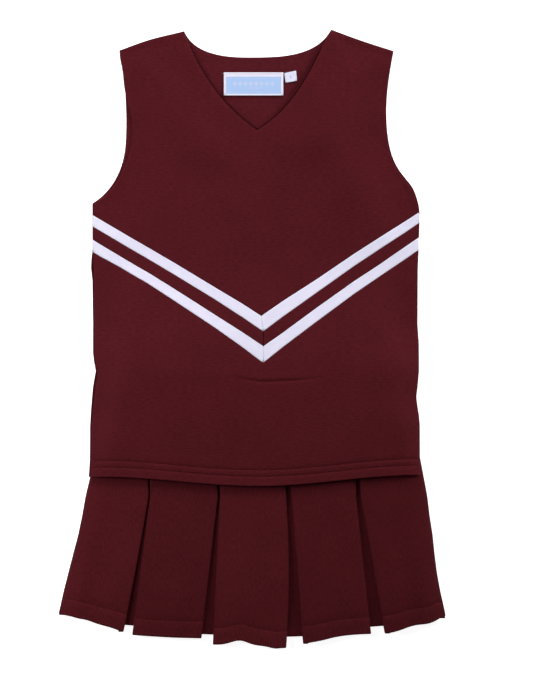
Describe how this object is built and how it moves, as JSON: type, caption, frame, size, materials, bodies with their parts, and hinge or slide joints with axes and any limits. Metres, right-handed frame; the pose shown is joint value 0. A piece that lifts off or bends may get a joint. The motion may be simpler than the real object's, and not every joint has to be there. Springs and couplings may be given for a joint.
{
  "type": "cheer uniform",
  "caption": "Child's sleeveless V-neck top with a double chevron across the chest, laid flat over a short box-pleated skirt with an elastic waist.",
  "frame": {"origin": "middle of the bottom of the box round the garment as it lies flat on its back", "axes": "+Y from the skirt's hem to the neck, +Z from the surface it lies on to the garment's front, +X towards the wearer's left side"},
  "size_m": [0.359, 0.576, 0.0209],
  "materials": {
    "maroon_knit": "matte double-knit jersey",
    "maroon_inside": "matte wrong side of the knit",
    "white_knit": "matte white knit with a slight sheen",
    "label_weave": "smooth woven label",
    "tab_satin": "satin ribbon",
    "elastic": "ribbed elastic"
  },
  "bodies": {
    "skirt": {"back_pleat_1": "maroon_knit", "back_pleat_5": "maroon_knit", "back_pleat_fold_1": "maroon_inside", "back_pleat_fold_2": "maroon_inside", "back_pleat_fold_3": "maroon_inside", "back_pleat_fold_4": "maroon_inside", "back_yoke": "maroon_knit", "front_pleat_1": "maroon_knit", "front_pleat_5": "maroon_knit", "front_pleat_fold_1": "maroon_inside", "front_pleat_fold_2": "maroon_inside", "front_pleat_fold_3": "maroon_inside", "front_pleat_fold_4": "maroon_inside", "front_yoke": "maroon_knit", "skirt_side_seam_left": "maroon_inside", "skirt_side_seam_right": "maroon_inside", "waist_elastic": "elastic", "waistband": "maroon_knit"},
    "top": {"back_facing": "maroon_inside", "back_panel": "maroon_knit", "chevron_lower_stripe_left": "white_knit", "chevron_lower_stripe_right": "white_knit", "chevron_middle_band_left": "maroon_knit", "chevron_middle_band_right": "maroon_knit", "chevron_upper_stripe_left": "white_knit", "chevron_upper_stripe_right": "white_knit", "front_facing": "maroon_inside", "front_lower_panel": "maroon_knit", "front_upper_panel": "maroon_knit", "shoulder_seam_left": "maroon_inside", "shoulder_seam_right": "maroon_inside", "top_back_hem": "maroon_inside", "top_front_hem": "maroon_inside", "top_side_seam_left": "maroon_inside", "top_side_seam_right": "maroon_inside"},
    "label": {"neck_label": "label_weave"},
    "tab": {"size_tab": "tab_satin"},
    "front_pleat_2_flap": {"front_pleat_2": "maroon_knit"},
    "front_pleat_3_flap": {"front_pleat_3": "maroon_knit"},
    "front_pleat_4_flap": {"front_pleat_4": "maroon_knit"},
    "back_pleat_2_flap": {"back_pleat_2": "maroon_knit"},
    "back_pleat_3_flap": {"back_pleat_3": "maroon_knit"},
    "back_pleat_4_flap": {"back_pleat_4": "maroon_knit"}
  },
  "joints": [
    {"name": "top_lift", "type": "slide", "parent": "skirt", "child": "top", "axis": [0, 0, 1], "range_m": [0, 0.12]},
    {"name": "label_flip", "type": "hinge", "parent": "top", "child": "label", "pos_m": [0.00125, 0.248, 0.0024], "axis": [-1, 0, 0], "range_deg": [0, 160]},
    {"name": "tab_flip", "type": "hinge", "parent": "top", "child": "tab", "pos_m": [0.0353, 0.2497, 0.0024], "axis": [-1, 0, 0], "range_deg": [0, 160]},
    {"name": "front_pleat_2_swing", "type": "hinge", "parent": "skirt", "child": "front_pleat_2_flap", "pos_m": [-0.0635, -0.147, 0.0116], "axis": [-1, 0, 0], "range_deg": [0, 45]},
    {"name": "front_pleat_3_swing", "type": "hinge", "parent": "skirt", "child": "front_pleat_3_flap", "pos_m": [0.00075, -0.147, 0.0116], "axis": [-1, 0, 0], "range_deg": [0, 45]},
    {"name": "front_pleat_4_swing", "type": "hinge", "parent": "skirt", "child": "front_pleat_4_flap", "pos_m": [0.0665, -0.147, 0.0116], "axis": [-1, 0, 0], "range_deg": [0, 45]},
    {"name": "back_pleat_2_swing", "type": "hinge", "parent": "skirt", "child": "back_pleat_2_flap", "pos_m": [-0.0635, -0.147, 0], "axis": [1, 0, 0], "range_deg": [0, 45]},
    {"name": "back_pleat_3_swing", "type": "hinge", "parent": "skirt", "child": "back_pleat_3_flap", "pos_m": [0.00075, -0.147, 0], "axis": [1, 0, 0], "range_deg": [0, 45]},
    {"name": "back_pleat_4_swing", "type": "hinge", "parent": "skirt", "child": "back_pleat_4_flap", "pos_m": [0.0665, -0.147, 0], "axis": [1, 0, 0], "range_deg": [0, 45]}
  ]
}
